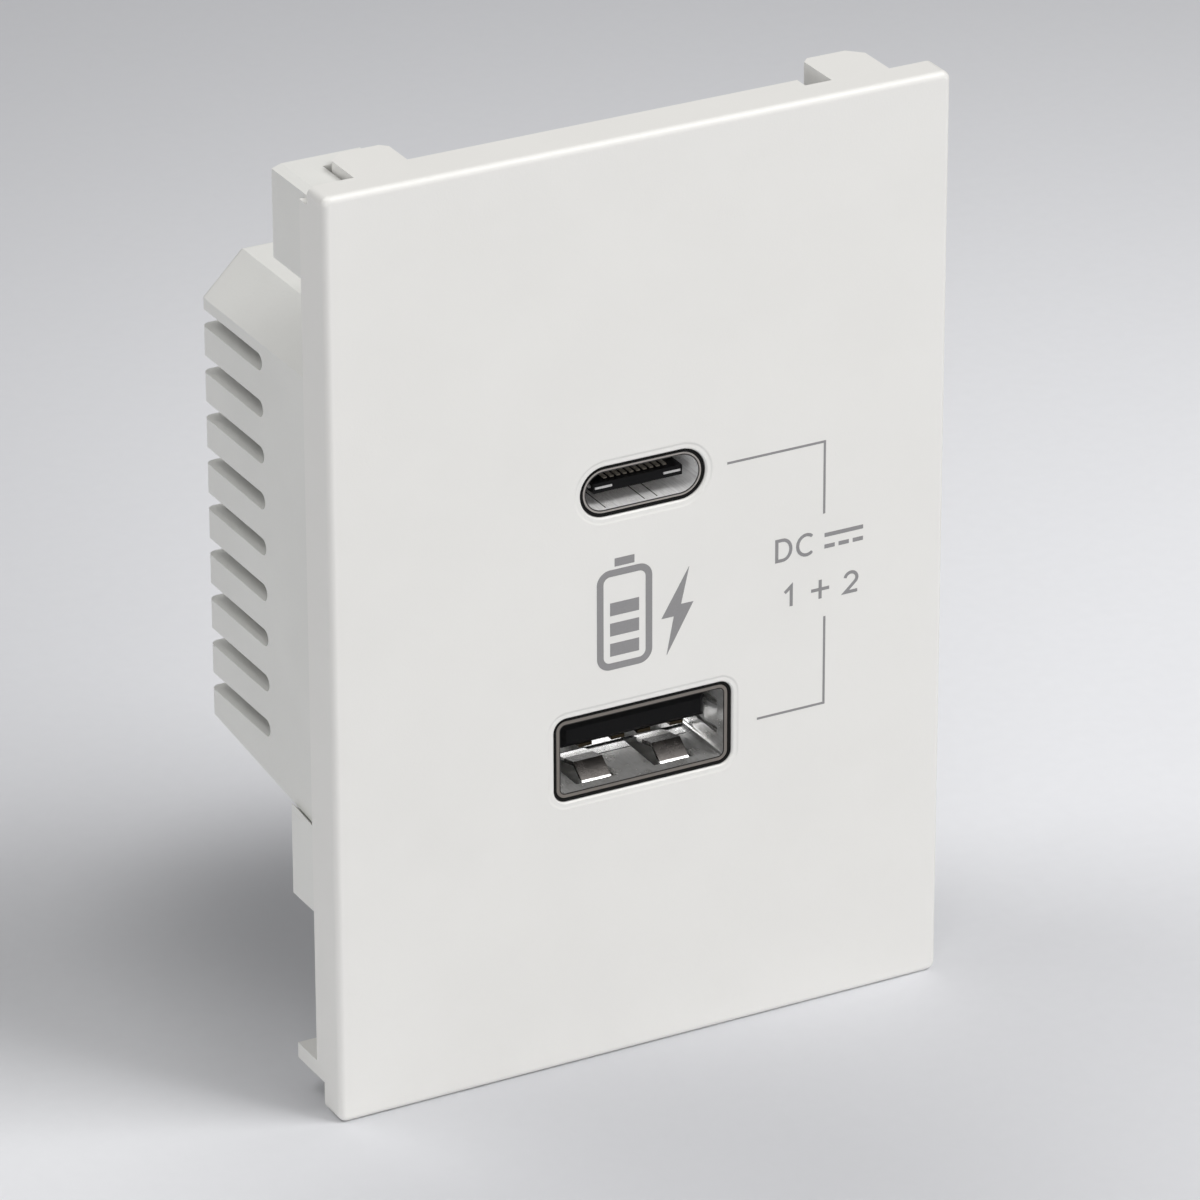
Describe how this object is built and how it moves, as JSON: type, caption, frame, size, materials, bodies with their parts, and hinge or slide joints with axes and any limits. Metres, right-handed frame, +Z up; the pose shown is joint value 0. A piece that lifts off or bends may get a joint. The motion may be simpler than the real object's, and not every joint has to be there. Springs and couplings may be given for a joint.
{
  "type": "usb wall socket",
  "caption": "Snap-in wall charger module: rounded front plate with a USB-A and a USB-C outlet, vented rear housing and rising-cage screw terminals.",
  "frame": {"origin": "centre of the plane where the plate's skirt seats on the wall frame", "axes": "+X right seen from the front, +Y into the wall, +Z up"},
  "size_m": [0.0466, 0.0205, 0.0676],
  "materials": {
    "cover_white": "fine satin moulding",
    "frame_white": "satin moulding",
    "housing_white": "satin moulding",
    "shell_steel": "nickel plated sheet",
    "gasket_black": "moulded ring",
    "tongue_black": "glass filled nylon",
    "contact_gilt": "gilt flash",
    "board_green": "solder mask",
    "chip_black": "moulding compound",
    "ferrite": "sintered",
    "bobbin_black": "moulded",
    "winding_tape": "polyester tape",
    "capacitor_sleeve": "shrunk sleeve",
    "capacitor_can": "drawn can",
    "fuse_body": "cement coat",
    "disc_blue": "dipped resin",
    "block_grey": "moulded",
    "busbar_brass": "tinned strip",
    "cage_brass": "milled",
    "screw_steel": "zinc plated"
  },
  "bodies": {
    "socket": {"front_cover": "cover_white", "clip_frame": "frame_white", "rear_housing": "housing_white", "usb_a_gasket": "gasket_black", "usb_c_gasket": "gasket_black", "usb_a_shell": "shell_steel", "usb_a_insulator": "tongue_black", "usb_a_contacts": "contact_gilt", "usb_c_shell": "shell_steel", "usb_c_insulator": "tongue_black", "usb_c_mid_plate": "shell_steel", "usb_c_contacts": "contact_gilt", "port_board": "board_green", "main_board": "board_green", "link_header": "tongue_black", "link_pins": "contact_gilt", "transformer_core": "ferrite", "transformer_bobbin": "bobbin_black", "transformer_winding": "winding_tape", "input_capacitor": "capacitor_sleeve", "output_capacitors": "capacitor_can", "controller_chip": "chip_black", "bridge_rectifier": "chip_black", "fuse_resistor": "fuse_body", "input_choke": "ferrite", "safety_capacitor": "disc_blue", "terminal_block": "block_grey", "terminal_busbars": "busbar_brass"},
    "line_screw": {"line_screw": "screw_steel"},
    "line_cage": {"line_cage": "cage_brass"},
    "neutral_screw": {"neutral_screw": "screw_steel"},
    "neutral_cage": {"neutral_cage": "cage_brass"}
  },
  "joints": [
    {"name": "line_screw_turn", "type": "hinge", "parent": "socket", "child": "line_screw", "pos_m": [-0.0125, 0.012, 0.0162], "axis": [0, -1, 0], "continuous": true},
    {"name": "line_cage_rise", "type": "slide", "parent": "socket", "child": "line_cage", "axis": [0, 1, 0], "range_m": [0, 0.0024]},
    {"name": "neutral_screw_turn", "type": "hinge", "parent": "socket", "child": "neutral_screw", "pos_m": [0.0125, 0.012, 0.0162], "axis": [0, -1, 0], "continuous": true},
    {"name": "neutral_cage_rise", "type": "slide", "parent": "socket", "child": "neutral_cage", "axis": [0, 1, 0], "range_m": [0, 0.0024]}
  ],
  "couplings": [
    {"joint": "line_screw_turn", "follows": "line_cage_rise", "rad_per_m": 12566},
    {"joint": "neutral_screw_turn", "follows": "neutral_cage_rise", "rad_per_m": 12566}
  ]
}
